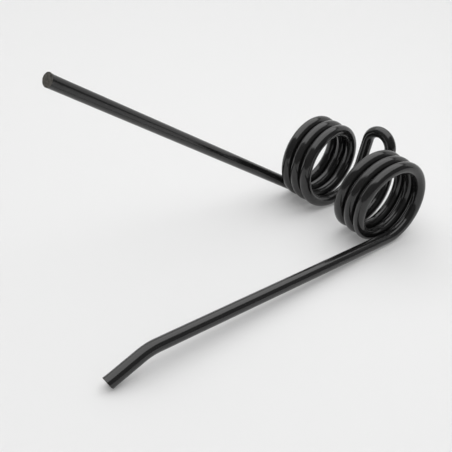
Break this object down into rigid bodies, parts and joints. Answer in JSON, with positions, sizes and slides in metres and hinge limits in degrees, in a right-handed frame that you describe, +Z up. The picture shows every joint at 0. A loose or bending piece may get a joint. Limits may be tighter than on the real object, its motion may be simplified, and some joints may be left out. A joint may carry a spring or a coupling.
{
  "type": "baler pickup tine",
  "caption": "Torsion spring tine of round wire: paired coils joined by a hairpin clamping loop, with a straight finger and a finger bent at its tip, for a baler pickup.",
  "frame": {"origin": "on the axis of the two coils, midway between them", "axes": "+X along the coils towards the bent finger, +Z up, both fingers point to -Y; the tine lies as it rests, on its outer turns and its bent tip"},
  "size_m": [0.0743, 0.1867, 0.0965],
  "materials": {
    "black_paint": "gloss black paint on spring steel wire"
  },
  "bodies": {
    "root": {"spring_tine": "black_paint"}
  },
  "joints": []
}
